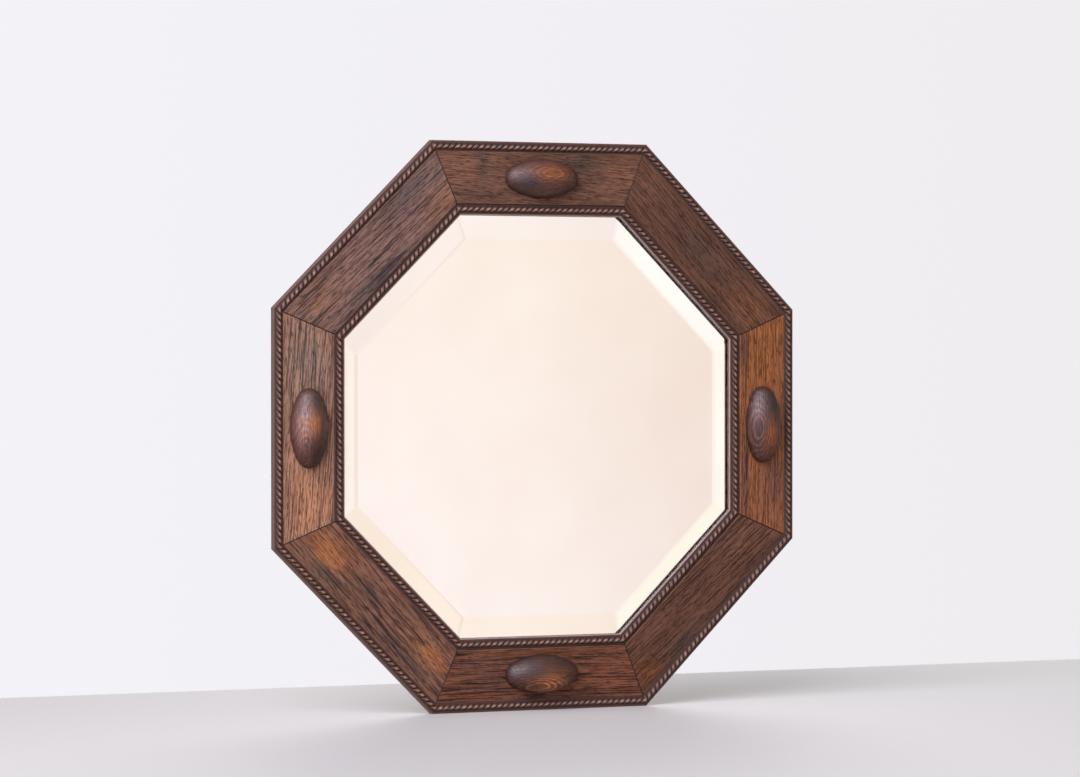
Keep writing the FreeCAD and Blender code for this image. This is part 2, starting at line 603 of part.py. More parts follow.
def make_backboard():
    """The plywood backboard with seated holes for its panel pins, and the pins."""
    board = make_sheet("backboard", "board_flat", "board_half", "wall_level", "board_thickness")
    holes = []
    for name, diameter, depth in (("pin_hole", "pin_hole_diameter", "board_thickness"),
                                  ("pin_seat", "pin_head_hole_diameter", "pin_head_height")):
        circle = new_sketch(board, f"backboard_{name}_circle", "XZ_Plane")
        draw_circle(circle, None, "pin_flat", diameter)
        holes.append(add_feature(board, "Pocket", f"backboard_{name}", circle, cell(depth), Reversed=True))
    repeat_round(board, "backboard_pin_holes", holes)
    pins = new_body("backboard_pins")
    half_section = new_sketch(pins, "pin_half_section", "YZ_Plane", y="pin_flat")
    draw_outline(half_section, [
        (None, None), (None, "pin_head_radius"), ("-pin_head_height", "pin_head_radius"),
        ("-pin_head_height", "pin_radius"), ("-pin_length", "pin_radius"), ("-pin_length", None),
    ])
    repeat_round(pins, "pins_round", [revolve(pins, "pin", half_section, "H_Axis")])


def make_hangers():
    """Two rolled brass straps, their wire rings and the two screws that hold them."""
    places = {}
    for side, sign in (("left", -1), ("right", 1)):
        hinge = Vector(sign * size("hanger_flat"), -size("hinge_level"), size("hanger_height"))
        places[side] = Placement(hinge, Rotation())
    strap = new_body("hanger_strap_left", places["left"])
    plate = new_sketch(strap, "strap_plate_lines", "YZ_Plane")
    draw_outline(plate, [
        ("-strap_front", None), ("-strap_back", None),
        ("-strap_back", "-strap_length"), ("-strap_front", "-strap_length"),
    ])
    add_feature(strap, "Pad", "strap_plate", plate, "dims.strap_width", Midplane=True)
    knuckle = new_sketch(strap, "strap_knuckle_lines", "YZ_Plane")
    draw_circle(knuckle, None, None, "knuckle_diameter")
    draw_circle(knuckle, None, None, "knuckle_bore_diameter")
    add_feature(strap, "Pad", "strap_knuckle", knuckle, "dims.strap_width", Midplane=True)
    hole = new_sketch(strap, "strap_hole_circle", "XZ_Plane")
    draw_circle(hole, None, "-screw_drop", "screw_hole_diameter")
    add_feature(strap, "Pocket", "strap_hole", hole, Midplane=True)
    make_copy("hanger_strap_right", strap, places["right"])

    ring = new_body("hanger_ring_left", places["left"])
    path = new_sketch(ring, "ring_path", "XZ_Plane")
    draw_outline(path, [
        (None, None),
        ("ring_bar_half", None, ("ring_bar_half", "-ring_corner", "x", "right")),
        ("ring_half", "-ring_corner"),
        ("ring_half", "-ring_arc_drop", (None, "-ring_arc_drop", "y", "right")),
        ("-ring_half", "-ring_arc_drop"),
        ("-ring_half", "-ring_corner", ("-ring_bar_half", "-ring_corner", "x", "right")),
        ("-ring_bar_half", None),
    ])
    wire = new_sketch(ring, "ring_wire", "YZ_Plane")
    draw_circle(wire, None, None, "wire_diameter")
    sweep = ring.newObject("PartDesign::AdditivePipe", "ring_sweep")
    sweep.Profile = wire
    sweep.Spine = path
    ring.Tip = sweep
    make_copy("hanger_ring_right", ring, places["right"])

    screws = new_body("hanger_screws")
    half_section = new_sketch(screws, "screw_half_section", "XY_Plane", x="-hanger_flat", z="screw_height")
    draw_outline(half_section, [
        (None, "-screw_point_level"), ("screw_radius", "-screw_point_level"),
        ("screw_radius", "-screw_seat_level"),
        ("screw_head_radius", "-screw_seat_level", (None, "-dome_centre_level", "y", "left")),
        (None, "-screw_top_level"),
    ])
    pair = screws.newObject("PartDesign::Mirrored", "screw_pair")
    pair.Originals = [revolve(screws, "screw", half_section, "V_Axis")]
    pair.MirrorPlane = (origin_plane(screws, "YZ_Plane"), [""])
    screws.Tip = pair


def write_nodes():
    """Write every node to its own file, once the whole document is sound."""
    doc.recompute()
    for item in doc.Objects:
        faults = {"Invalid", "Error"}.intersection(item.State)
        if faults:
            raise RuntimeError(f"{item.Label} is {sorted(faults)}: {item.getStatusString()}")
    for node in nodes:
        if node.Shape.isNull() or not node.Shape.isValid():
            raise RuntimeError(f"{node.Label} has no sound shape")
    os.makedirs("parts", exist_ok=True)
    for node in nodes:
        node.Shape.exportStep(f"parts/{node.Label}.step")


for side_name in SIDES:
    make_rail(side_name)
make_strips("outer", [
    ("-outer_ledge_level", "field_outer_flat"),
    ("-outer_ledge_level", "outer_flat"),
    ("-rim_round_level", "outer_flat", ("-rim_round_level", "rim_round_flat", "x", "left")),
    ("-outer_top_level", "rim_round_flat"),
    ("-outer_top_level", "outer_rope_rim"),
    ("-outer_crown_level", "outer_crown_rim"),
    ("-outer_crown_level", "outer_crown_foot"),
    ("-outer_top_level", "outer_rope_foot"),
    ("-outer_top_level", "field_outer_flat"),
])
make_strips("inner", [
    ("-inner_ledge_level", "sight_flat"),
    ("-inner_ledge_level", "field_inner_flat"),
    ("-inner_top_level", "field_inner_flat"),
    ("-inner_top_level", "inner_rope_rim"),
    ("-inner_crown_level", "inner_crown_rim"),
    ("-inner_crown_level", "inner_crown_foot"),
    ("-inner_top_level", "inner_rope_foot"),
    ("-inner_top_level", "lip_round_flat", ("-lip_round_level", "lip_round_flat", "x", "left")),
    ("-lip_round_level", "sight_flat"),
])
make_bosses()
make_dowels()
make_tongues()
make_glass()
make_backboard()
make_hangers()
write_nodes()
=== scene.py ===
"""Looks of an octagonal oak wall mirror with rope-twist beading, oval bosses and a bevelled glass.

Lengths are written in millimetres and put into the frame in metres. The mirror faces -Y and +Z is
up. A "flat" is a distance from the centre square to a side of the octagon, a "level" a distance in
front of the wall plane, and "along" runs along a side.
"""
import math

import bmesh
import bpy
import numpy as np
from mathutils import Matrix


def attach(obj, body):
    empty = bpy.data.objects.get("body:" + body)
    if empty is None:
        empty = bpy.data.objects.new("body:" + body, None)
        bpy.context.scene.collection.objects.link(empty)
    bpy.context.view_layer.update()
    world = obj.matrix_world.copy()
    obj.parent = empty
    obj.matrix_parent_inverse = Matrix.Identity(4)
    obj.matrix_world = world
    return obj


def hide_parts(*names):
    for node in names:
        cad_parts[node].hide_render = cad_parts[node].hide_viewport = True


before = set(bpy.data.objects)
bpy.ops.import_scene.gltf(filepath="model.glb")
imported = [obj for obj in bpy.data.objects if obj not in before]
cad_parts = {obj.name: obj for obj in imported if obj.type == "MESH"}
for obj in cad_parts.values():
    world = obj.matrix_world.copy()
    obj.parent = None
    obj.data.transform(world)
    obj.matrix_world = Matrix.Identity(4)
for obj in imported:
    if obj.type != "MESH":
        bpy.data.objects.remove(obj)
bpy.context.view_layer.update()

MM = 0.001
FULL_TURN = 2 * math.pi
SIDES = ("top", "upper_right", "right", "lower_right", "bottom", "lower_left", "left", "upper_left")
SIDE_TURN = FULL_TURN / len(SIDES)
# Half the length of a side, as a share of its flat
HALF_SIDE = math.tan(SIDE_TURN / 2)

# Mesh points closer than this are one, and a point this far past an edge is clear of it
WELD = 0.002
MARGIN = 0.5

# Rails and strips, as in the part's source: a pair is a flat and a level
OUTER_FLAT = 279.5
SIGHT_FLAT = 206.5
FACE_OUTER = (269.3, 16.7)
FACE_INNER = (218.0, 19.7)
FACE_MIDDLE = ((FACE_OUTER[0] + FACE_INNER[0]) / 2, (FACE_OUTER[1] + FACE_INNER[1]) / 2)
FACE_SLOPE = math.atan2(FACE_INNER[1] - FACE_OUTER[1], FACE_OUTER[0] - FACE_INNER[0])
BACK_LEVEL = 4.0
BACK_BEVEL = (272.5, 9.7)
REBATE_FLAT = 214.2
LIP_BACK = 13.3
OUTER_LEDGE = 12.7
INNER_LEDGE = 15.3
OUTER_TOP = 16.2
INNER_TOP = 17.9

# Rounded edges of a rail, how far in from the sharp corner its crest lies, and the sink at a mitre
FACE_ROUND = 0.8
BACK_ROUND = 1.0
REBATE_ROUND = 0.4
EDGE_ROUND = 0.3
CREST_INSET = 0.5
MITRE_SINK = 0.35

# Points of a rail: across its face, in from a mitre, and between the mitres as shares of half a side
FACE_INSETS = (1.2, 3.0)
FACE_POINTS = 11
MITRE_INSETS = np.array([0.0, 0.45, 0.75, 1.5, 4.0])
RAIL_SHARES = np.linspace(-0.93, 0.93, 33)

# Rope twist: depths are shares of its height, and the points of a twist shares of the way between grooves
ROPE_HALF_WIDTH = 3.05
ROPE_HEIGHT = 3.0
GROOVE_DEPTH = 0.8
LOBE_POWER = 0.45
TWIST_ANGLE = math.radians(45)
TWIST_CURVE = 0.2
TWIST_SHARES = np.array([0, 0.08, 0.2, 0.35, 0.5, 0.65, 0.8, 0.92])
ROPE_POINTS = 15

# Eased edges of the strips, each point an inset and a drop from the sharp edge
RIM_EDGE = ((0, 1.2), (0.2, 0.45), (0.65, 0.1), (1.2, 0))
LIP_EDGE = ((2.2, 0), (1.5, 0), (0.8, 0.15), (0.3, 0.6), (0, 1.5))
OUTER_FOOT = ((0.25, 0), (0, 0.2))
INNER_FOOT = ((0, 0.2), (0.2, 0))

# The strips: the outline runs along the ledge and up to the rope, over the rope, and down again
OUTER_ROPE = {
    "flat": 273.75, "top": OUTER_TOP, "twists": 36,
    "before": [(FACE_OUTER[0], OUTER_LEDGE), (OUTER_FLAT, OUTER_LEDGE),
               *[(OUTER_FLAT - inset, OUTER_TOP - drop) for inset, drop in RIM_EDGE]],
    "after": [(FACE_OUTER[0] + inset, OUTER_TOP - drop) for inset, drop in OUTER_FOOT],
}
INNER_ROPE = {
    "flat": 212.75, "top": INNER_TOP, "twists": 28,
    "before": [(SIGHT_FLAT, INNER_LEDGE), (FACE_INNER[0], INNER_LEDGE),
               *[(FACE_INNER[0] - inset, INNER_TOP - drop) for inset, drop in INNER_FOOT]],
    "after": [(SIGHT_FLAT + inset, INNER_TOP - drop) for inset, drop in LIP_EDGE],
}

# Boss, split from a turned spindle and let into the face by a hair
BOSS_HALF_LENGTH = 38.5
BOSS_HALF_WIDTH = 19.2
BOSS_HEIGHT = 19.0
BOSS_SEAT = 0.03
BOSS_STATIONS = 57
BOSS_POINTS = 41
SPINDLE_END_ROUND = 13.0

# Growth rings on a boss, long ovals round a plain core: phase and wander are shares of a ring's width
RING_WIDTH = 2.4
RING_STRETCH = 2.7
RING_CORE = 3
RING_FADE = 13
RING_PHASE = 0.1
RING_WANDER = 1.2

# Glass: its bevel is ground by hand, a little wider on some sides than on others
GLASS_DROP = 2.0
GLASS_FLAT = 212.2
GLASS_BACK = 9.2
GLASS_EDGE = 12.29
GLASS_FRONT = 15.29
GLASS_NIP = 0.3
ARRIS_FLATS = {
    "top": 183.7, "upper_right": 188, "right": 192.3, "lower_right": 191.7, "bottom": 186.5,
    "lower_left": 189.3, "left": 192.3, "upper_left": 185.3,
}

# Stains of the strips and the backs, wood that wear has bared, the pale colour of wear and painted
# highlights, and the dark colour of dirt and painted shade
ROPE_STAIN = "#6a4c43"
BACK_STAIN = "#7a5e4b"
BARE_HEART = "#b9764b"
WORN_WOOD_AND_HIGHLIGHT = "#d89f7f"
DIRT_AND_SHADE = "#1f1412"

# A painted highlight, pale and grey, runs along the rounded edge of the strip beside the glass from end to
# end
LIP_PAINTED_HIGHLIGHT = (0, SIGHT_FLAT + 0.7, 1000, 0.5, "#d2b8ae")

# Dirt and wear of a rail, the wear on the arrises with a painted highlight: amounts are shares of full
# cover, reaches go out from a crest, and waves are lengths to a radian
MITRE_DIRT = 0.92
SEAM_DIRT = 0.75
ARRIS_DIRT = 0.22
ARRIS_DIRT_SWING = 0.12
ARRIS_DIRT_WAVES = (17, 43)
ARRIS_DIRT_REACH = 3.5
ARRIS_WEAR_AND_HIGHLIGHT = 0.3
ARRIS_WEAR_AND_HIGHLIGHT_REACH = 0.3
BACK_GRAIN = 0.3
BACK_FIGURE = 0.2
HEART_CLEARS = 0.85

# Dirt with painted shade, and wear with a painted highlight, of a strip: the highlight spot on a lobe is
# sized as a share of a twist and in mm
GROOVE_DIRT_AND_SHADE = 0.55
FOOT_DIRT_AND_SHADE = 0.2
FOOT_DIRT_AND_SHADE_REACH = 0.8
ROPE_DIRT_AND_SHADE_LIMIT = 0.6
LOBE_WEAR_AND_HIGHLIGHT = 0.95
LOBE_WEAR_AND_HIGHLIGHT_EVEN = 0.65
LOBE_HIGHLIGHT_SPOT = (0.25, 1.1)
RIM_WEAR_AND_HIGHLIGHT = 0.15
RIM_WEAR_AND_HIGHLIGHT_REACH = 0.6

# Painted shade that darkens a boss towards its base, dirt and painted shade against the rail, and grain
BOSS_PAINTED_SHADE = 0.85
BOSS_PAINTED_SHADE_REACH = 6
BOSS_DIRT_AND_SHADE = 0.6
BOSS_DIRT_AND_SHADE_REACH = 0.8
BOSS_GRAIN = 0.1

# How far apart two boards lie in the plank that they are cut from
PLANK_STEP = (731.0, 193.0, 57.0)


def place(side, along, flat, level):
    """Side coordinates in mm to frame coordinates in m: the top side turned by 45 degrees a side."""
    turn = SIDES.index(side) * SIDE_TURN
    x = along * math.cos(turn) + flat * math.sin(turn)
    z = flat * math.cos(turn) - along * math.sin(turn)
    return np.stack(np.broadcast_arrays(x, -level, z), axis=-1) * MM


def rounded_outline(corners, steps=4):
    """Closed outline of (flat, level, setback): a setback turns a corner into a parabola arc.

    The arc is (1-s)^2 A + 2 s (1-s) P + s^2 B, with A and B the setback away from corner P.
    """
    points = np.array([corner[:2] for corner in corners], float)
    share = np.linspace(0, 1, steps + 1)[:, None]
    outline = []
    for index, (*_, setback) in enumerate(corners):
        corner = points[index]
        if setback == 0:
            outline.append(corner[None])
            continue
        ends = []
        for neighbour in (points[index - 1], points[(index + 1) % len(points)]):
            way = neighbour - corner
            ends.append(corner + way * setback / np.linalg.norm(way))
        arc = (1 - share) ** 2 * ends[0] + 2 * share * (1 - share) * corner + share ** 2 * ends[1]
        outline.append(arc)
    return np.concatenate(outline)


def swept_piece(name, rings, attributes, crease=35):
    """Closed mesh from rings (stations, points, 3): quads between rings and a face at each end.

    Attributes are arrays of the rings' shape, one number or one vector to a point. Edges that turn
    by more than the crease, in degrees, stay sharp.
    """
    stations, points = rings.shape[:2]
    index = np.arange(stations * points).reshape(stations, points)
    here, there = index[:-1], index[1:]
    quads = np.stack([here, np.roll(here, -1, 1), np.roll(there, -1, 1), there], -1).reshape(-1, 4)
    faces = quads.tolist() + [index[0][::-1].tolist(), index[-1].tolist()]
    mesh = bpy.data.meshes.new(name)
    mesh.from_pydata(rings.reshape(-1, 3), [], faces)
    for key, values in attributes.items():
        kind, field = ("FLOAT", "value") if values.ndim == 2 else ("FLOAT_VECTOR", "vector")
        layer = mesh.attributes.new(key, kind, "POINT")
        layer.data.foreach_set(field, np.ascontiguousarray(values, np.float32).ravel())
    shape = bmesh.new()
    shape.from_mesh(mesh)
    bmesh.ops.remove_doubles(shape, verts=shape.verts, dist=WELD * MM)
    bmesh.ops.recalc_face_normals(shape, faces=shape.faces)
    if shape.calc_volume(signed=True) < 0:
        bmesh.ops.reverse_faces(shape, faces=shape.faces)
    shape.to_mesh(mesh)
    shape.free()
    mesh.shade_smooth()
    mesh.set_sharp_from_angle(angle=math.radians(crease))
    piece = bpy.data.objects.new(name, mesh)
    bpy.context.scene.collection.objects.link(piece)
    return piece


def finish_piece(piece, node_name, material):
    """Ride on the frame, stand for the CAD node and take the material."""
    piece.data.materials.append(material)
    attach(piece, "frame")
    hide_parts(node_name)


def board_place(seed, along, across, depth, slope=0.0):
    """Grain coordinates in m of a board cut from its own stretch of a plank, the grain at a slope."""
    cos, sin = math.cos(math.radians(slope)), math.sin(math.radians(slope))
    run = along * cos + across * sin + seed * PLANK_STEP[0]
    rise = across * cos - along * sin + seed * PLANK_STEP[1]
    return np.stack(np.broadcast_arrays(run, rise, depth + seed * PLANK_STEP[2]), axis=-1) * MM


def soft_oval(along, across, middle_along, middle_across, half_length, half_width):
    """Cover exp(-(a^2 + b^2)), with a and b the distances from the middle in the oval's half sizes."""
    far_along = (along - middle_along) / half_length
    far_across = (across - middle_across) / half_width
    return np.exp(-far_along ** 2 - far_across ** 2)


# Materials
def linear(hex_colour):
    """sRGB hex to the linear colour that a shader reads."""
    channels = [int(hex_colour[i:i + 2], 16) / 255 for i in (1, 3, 5)]
    return tuple(c / 12.92 if c <= 0.04045 else ((c + 0.055) / 1.055) ** 2.4 for c in channels) + (1.0,)


def patched_stain(ground, patches, along, across):
    """Linear stain colours: a ground colour, and soft oval patches laid over it one by one.

    A patch is (along, across, half length, half width, colour).
    """
    along, across = np.broadcast_arrays(along, across)
    stain = np.broadcast_to(np.array(linear(ground)[:3]), along.shape + (3,)).copy()
    for *oval, colour in patches:
        cover = soft_oval(along, across, *oval)
        stain += (np.array(linear(colour)[:3]) - stain) * cover[..., None]
    return stain


def per_mm(*sizes):
    """Texture scale for a pattern of these sizes in mm, on coordinates in m."""
    return tuple(1 / (size * MM) for size in sizes)


def usable(sockets, key=None):
    """The first socket in use, or the one in use under this name."""
    in_use = (socket for socket in sockets if socket.enabled)
    return next(socket for socket in in_use if key in (None, socket.name, socket.identifier))


def add(tree, kind, inputs=None, stops=(), **settings):
    """Add a node with its own settings; an input is a value, or a node or socket to link."""
    made = tree.nodes.new(kind)
    for key, value in settings.items():
        setattr(made, key, value)
    for key, value in (inputs or {}).items():
        target = usable(made.inputs, key)
        if isinstance(value, bpy.types.Node):
            value = usable(value.outputs)
        if isinstance(value, bpy.types.NodeSocket):
            tree.links.new(value, target)
        else:
            target.default_value = value
    for index, (position, colour) in enumerate(stops):
        elements = made.color_ramp.elements
        element = elements[index] if index < len(elements) else elements.new(position)
        element.position = position
        element.color = linear(colour)
    return made


def new_material(name):
    """A node material with no nodes yet, and its tree."""
    material = bpy.data.materials.new(name)
    material.use_nodes = True
    material.node_tree.nodes.clear()
    return material, material.node_tree


def streaks(tree, where, sizes, reach, strength=1.0, detail=2.0, distortion=0.0):
    """Noise stretched to sizes in mm: what lies inside the reach is spread over 0 to strength."""
    stretched = add(tree, "ShaderNodeMapping", {"Vector": where, "Scale": per_mm(*sizes)})
    noise = add(tree, "ShaderNodeTexNoise", {
        "Vector": stretched, "Scale": 1.0, "Detail": detail, "Distortion": distortion})
    return add(tree, "ShaderNodeMapRange", {
        "Value": noise.outputs["Fac"], "From Min": reach[0], "From Max": reach[1], "To Max": strength})


def stained_oak(name, roughness, gloss, pore_depth, furrow_depth, turned=False):
    """Oak, planed, carved or turned, then stained dark and waxed.

    The stain lies dark in the pores and the open early wood and leaves the hard late wood warm. Wear
    and a painted highlight lighten arrises and crests, and dirt and painted shade darken corners and
    low places. Wax gives a soft sheen.
    The pore depth is how dark the pores are, from 0 to 1, and the furrow depth is in mm.
    """
    material, tree = new_material(name)
    board = add(tree, "ShaderNodeAttribute", attribute_name="board").outputs["Vector"]
    stain = add(tree, "ShaderNodeAttribute", attribute_name="stain").outputs["Color"]
    wear_and_highlight, dirt_and_shade, open_grain, figure, heart = (
        add(tree, "ShaderNodeAttribute", attribute_name=key).outputs["Fac"]
        for key in ("wear_and_highlight", "dirt_and_shade", "open_grain", "figure", "heart"))
    mottle = streaks(tree, board, (16, 5, 6), (0.36, 0.66), detail=4.0, distortion=0.5)
    bands = streaks(tree, board, (70, 5, 9), (0.57, 0.65), strength=figure, detail=3.0, distortion=0.7)
    # Oak's early wood and pores are 0.3 mm wide, drawn three to five times as wide so that they show
    lines = streaks(tree, board, (70, 1.6, 3.2), (0.55, 0.605), strength=open_grain, distortion=0.3)
    fibres = streaks(tree, board, (32, 1.1, 2), (0.5, 0.6), strength=pore_depth)
    pores = streaks(tree, board, (8, 1.0, 1.2), (0.54, 0.62), strength=pore_depth, detail=1.5)
    # Hearts of flat-cut late wood, ragged along the grain, took little stain
    ragged = streaks(tree, board, (40, 4, 6), (0.0, 1.0), strength=1.1, detail=3.0)
    reach = add(tree, "ShaderNodeMath", {"Value": heart, "Value_001": ragged}, operation="ADD")
    bare = add(tree, "ShaderNodeMapRange", {
        "Value": reach, "From Min": 1.0, "From Max": 1.04, "To Max": 0.8})
    # A layer that multiplies leaves these shares of the red, green and blue under it
    layers = (
        (mottle, "MULTIPLY", (0.86, 0.85, 0.86, 1.0)),
        (bands, "MULTIPLY", (0.36, 0.38, 0.44, 1.0)),
        (lines, "MULTIPLY", (0.28, 0.3, 0.36, 1.0)),
        (bare, "MIX", linear(BARE_HEART)),
        (fibres, "MULTIPLY", (0.55, 0.49, 0.49, 1.0)),
        (pores, "MULTIPLY", (0.38, 0.33, 0.33, 1.0)),
    )
    colour = stain
    for pattern, blend, tint in layers:
        colour = add(tree, "ShaderNodeMix", {"Factor": pattern, "A": colour, "B": tint},
                     data_type="RGBA", blend_type=blend)
    if turned:
        # The growth rings come out on the round as nested ovals: the dark ones halve the colour under
        # them, and the late wood between them doubles it
        ring = add(tree, "ShaderNodeAttribute", attribute_name="ring").outputs["Fac"]
        clear = add(tree, "ShaderNodeAttribute", attribute_name="clear").outputs["Fac"]
        wander = streaks(tree, board, (20, 9, 9), (0.0, 1.0), strength=FULL_TURN * RING_WANDER)
        phase = add(tree, "ShaderNodeMath", {
            "Value": ring, "Value_001": FULL_TURN / (RING_WIDTH * MM), "Value_002": wander},
            operation="MULTIPLY_ADD")
        wave = add(tree, "ShaderNodeMath", {"Value": phase}, operation="COSINE")
        pale = add(tree, "ShaderNodeMapRange", {"Value": wave, "From Min": -0.2, "From Max": 0.9})
        tone = add(tree, "ShaderNodeMix", {
            "Factor": pale, "A": (0.58, 0.53, 0.53, 1.0), "B": (2.1, 1.9, 1.75, 1.0)}, data_type="RGBA")
        colour = add(tree, "ShaderNodeMix", {"Factor": clear, "A": colour, "B": tone},
                     data_type="RGBA", blend_type="MULTIPLY")
    # Wear with a painted highlight lightens the colour, and dirt with painted shade darkens it
    for cover, tint in ((wear_and_highlight, WORN_WOOD_AND_HIGHLIGHT), (dirt_and_shade, DIRT_AND_SHADE)):
        colour = add(tree, "ShaderNodeMix", {"Factor": cover, "A": colour, "B": linear(tint)},
                     data_type="RGBA")
    # Pores are duller than the waxed wood round them, and cut a little into it
    rough = add(tree, "ShaderNodeMapRange", {
        "Value": pores, "To Min": roughness, "To Max": roughness + 0.25})
    furrows = add(tree, "ShaderNodeMath", {"Value": pores, "Value_001": fibres}, operation="MAXIMUM")
    relief = add(tree, "ShaderNodeBump", {
        "Height": furrows, "Strength": 0.5, "Distance": furrow_depth * MM}, invert=True)
    shader = add(tree, "ShaderNodeBsdfPrincipled", {
        "Base Color": colour, "Roughness": rough, "Normal": relief, "Specular IOR Level": gloss})
    add(tree, "ShaderNodeOutputMaterial", {"Surface": shader})
    return material


def polished_plate_glass():
    """Plate glass, ground and polished: quite clear, so that the silver behind it shows."""
    material, tree = new_material("polished_plate_glass")
    shader = add(tree, "ShaderNodeBsdfPrincipled", {
        "Base Color": linear("#ffffff"), "Transmission Weight": 1.0, "Roughness": 0.0, "IOR": 1.52})
    add(tree, "ShaderNodeOutputMaterial", {"Surface": shader})
    return material


def silver_coat():
    """Silver laid on glass from a bath, under paint: a clean mirror, a little warm with age."""
    material, tree = new_material("wet_laid_silver_coat")
    where = add(tree, "ShaderNodeTexCoord").outputs["Object"]
    age = streaks(tree, where, (90, 90, 90), (0.35, 0.7))
    colour = add(tree, "ShaderNodeMix", {"Factor": age, "A": linear("#fefdfc"), "B": linear("#fcf9f7")},
                 data_type="RGBA")
    shader = add(tree, "ShaderNodeBsdfPrincipled", {
        "Base Color": colour, "Metallic": 1.0, "Roughness": 0.0})
    add(tree, "ShaderNodeOutputMaterial", {"Surface": shader})
    return material


def sanded_plywood():
    """Birch plywood, sanded and darkened with age: long pale figure, dusty and dry."""
    material, tree = new_material("sanded_birch_plywood")
    where = add(tree, "ShaderNodeTexCoord").outputs["Object"]
    figure = streaks(tree, where, (22, 60, 260), (0.42, 0.58), detail=5.0, distortion=1.6)
    # Birch fibres are finer than a fifth of a millimetre, drawn coarser so that they show
    fibre = streaks(tree, where, (1.2, 4, 34), (0.48, 0.64), strength=0.5)
    stain = streaks(tree, where, (120, 60, 140), (0.4, 0.75), strength=0.4, detail=3.0)
    colour = linear("#a47a52")
    for pattern, tint in ((figure, "#8a623f"), (fibre, "#6d4b30"), (stain, "#5f4632")):
        colour = add(tree, "ShaderNodeMix", {"Factor": pattern, "A": colour, "B": linear(tint)},
                     data_type="RGBA")
    relief = add(tree, "ShaderNodeBump", {"Height": fibre, "Strength": 0.8, "Distance": 0.1 * MM})
    shader = add(tree, "ShaderNodeBsdfPrincipled", {
        "Base Color": colour, "Roughness": 0.75, "Normal": relief})
    add(tree, "ShaderNodeOutputMaterial", {"Surface": shader})
    return material


def drawn_steel():
    """Steel wire pins, dull, with specks of rust."""
    material, tree = new_material("drawn_steel_pin")
    where = add(tree, "ShaderNodeTexCoord").outputs["Object"]
    rust = streaks(tree, where, (0.9, 0.9, 0.9), (0.45, 0.65))
    colour = add(tree, "ShaderNodeMix", {"Factor": rust, "A": linear("#8a8680"), "B": linear("#5f4536")},
                 data_type="RGBA")
    shader = add(tree, "ShaderNodeBsdfPrincipled", {
        "Base Color": colour, "Metallic": 0.85, "Roughness": 0.5})
    add(tree, "ShaderNodeOutputMaterial", {"Surface": shader})
    return material


def rolled_brass():
    """Brass sheet and wire, rolled and drawn, browned in the low places and rubbed bright elsewhere."""
    material, tree = new_material("rolled_brass_aged")
    where = add(tree, "ShaderNodeTexCoord").outputs["Object"]
    tarnish = streaks(tree, where, (3.5, 3.5, 3.5), (0.38, 0.66), detail=3.0)
    # Scuffs are hair-fine, drawn half a millimetre wide so that they show
    scuffs = streaks(tree, where, (0.5, 0.5, 3), (0.5, 0.75), detail=1.0)
    colour = add(tree, "ShaderNodeMix", {"Factor": tarnish, "A": linear("#c09a56"), "B": linear("#7a5c34")},
                 data_type="RGBA")
    rough = add(tree, "ShaderNodeMapRange", {"Value": scuffs, "To Min": 0.3, "To Max": 0.5})
    shader = add(tree, "ShaderNodeBsdfPrincipled", {
        "Base Color": colour, "Metallic": 1.0, "Roughness": rough})
    add(tree, "ShaderNodeOutputMaterial", {"Surface": shader})
    return material


def pressed_card():
    """Grey packing card, pressed from pulp: flecked and matt."""
    material, tree = new_material("pressed_grey_card")
    where = add(tree, "ShaderNodeTexCoord").outputs["Object"]
    flecks = streaks(tree, where, (2, 2, 2), (0.4, 0.7), detail=3.0)
    colour = add(tree, "ShaderNodeMix", {"Factor": flecks, "A": linear("#9b9184"), "B": linear("#857a6c")},
                 data_type="RGBA")
    shader = add(tree, "ShaderNodeBsdfPrincipled", {"Base Color": colour, "Roughness": 0.9})
    add(tree, "ShaderNodeOutputMaterial", {"Surface": shader})
    return material


def sawn_beech():
    """Beech and birch inside the joints, sawn: pale, with short flecks along Z."""
    material, tree = new_material("sawn_beech")
    where = add(tree, "ShaderNodeTexCoord").outputs["Object"]
    flecks = streaks(tree, where, (0.6, 0.6, 4), (0.45, 0.7))
    colour = add(tree, "ShaderNodeMix", {"Factor": flecks, "A": linear("#c9a077"), "B": linear("#a87c55")},
                 data_type="RGBA")
    shader = add(tree, "ShaderNodeBsdfPrincipled", {"Base Color": colour, "Roughness": 0.7})
    add(tree, "ShaderNodeOutputMaterial", {"Surface": shader})
    return material


def matt_paint():
    """Matt paint on a flat board: pale and even, so that only the shadow shows on it."""
    material, tree = new_material("matt_painted_floor")
    shader = add(tree, "ShaderNodeBsdfPrincipled", {"Base Color": linear("#e6e2de"), "Roughness": 0.7})
    add(tree, "ShaderNodeOutputMaterial", {"Surface": shader})
    return material


